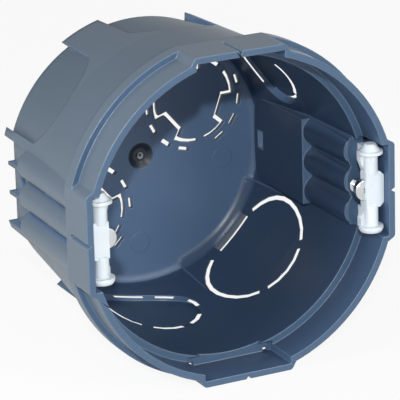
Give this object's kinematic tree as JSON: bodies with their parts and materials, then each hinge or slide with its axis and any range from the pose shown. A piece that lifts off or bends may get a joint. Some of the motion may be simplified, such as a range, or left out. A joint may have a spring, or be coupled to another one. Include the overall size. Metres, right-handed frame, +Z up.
{
  "type": "masonry electrical box",
  "caption": "Round flush box for masonry walls, with a stepped collar, ganging lugs, ridged claw panels, knockouts and screw holders for a wiring device.",
  "frame": {"origin": "centre of the mouth, in the plane of the front rim", "axes": "+X to the right, +Y into the wall along the box axis, +Z up"},
  "size_m": [0.071, 0.0506, 0.071],
  "materials": {
    "box_plastic": "satin moulded",
    "holder_plastic": "smooth white",
    "screw_metal": "bright zinc plated"
  },
  "bodies": {
    "root": {"box_body": "box_plastic", "left_screw_holder": "holder_plastic", "right_screw_holder": "holder_plastic", "left_device_screw": "screw_metal", "right_device_screw": "screw_metal"}
  },
  "joints": []
}
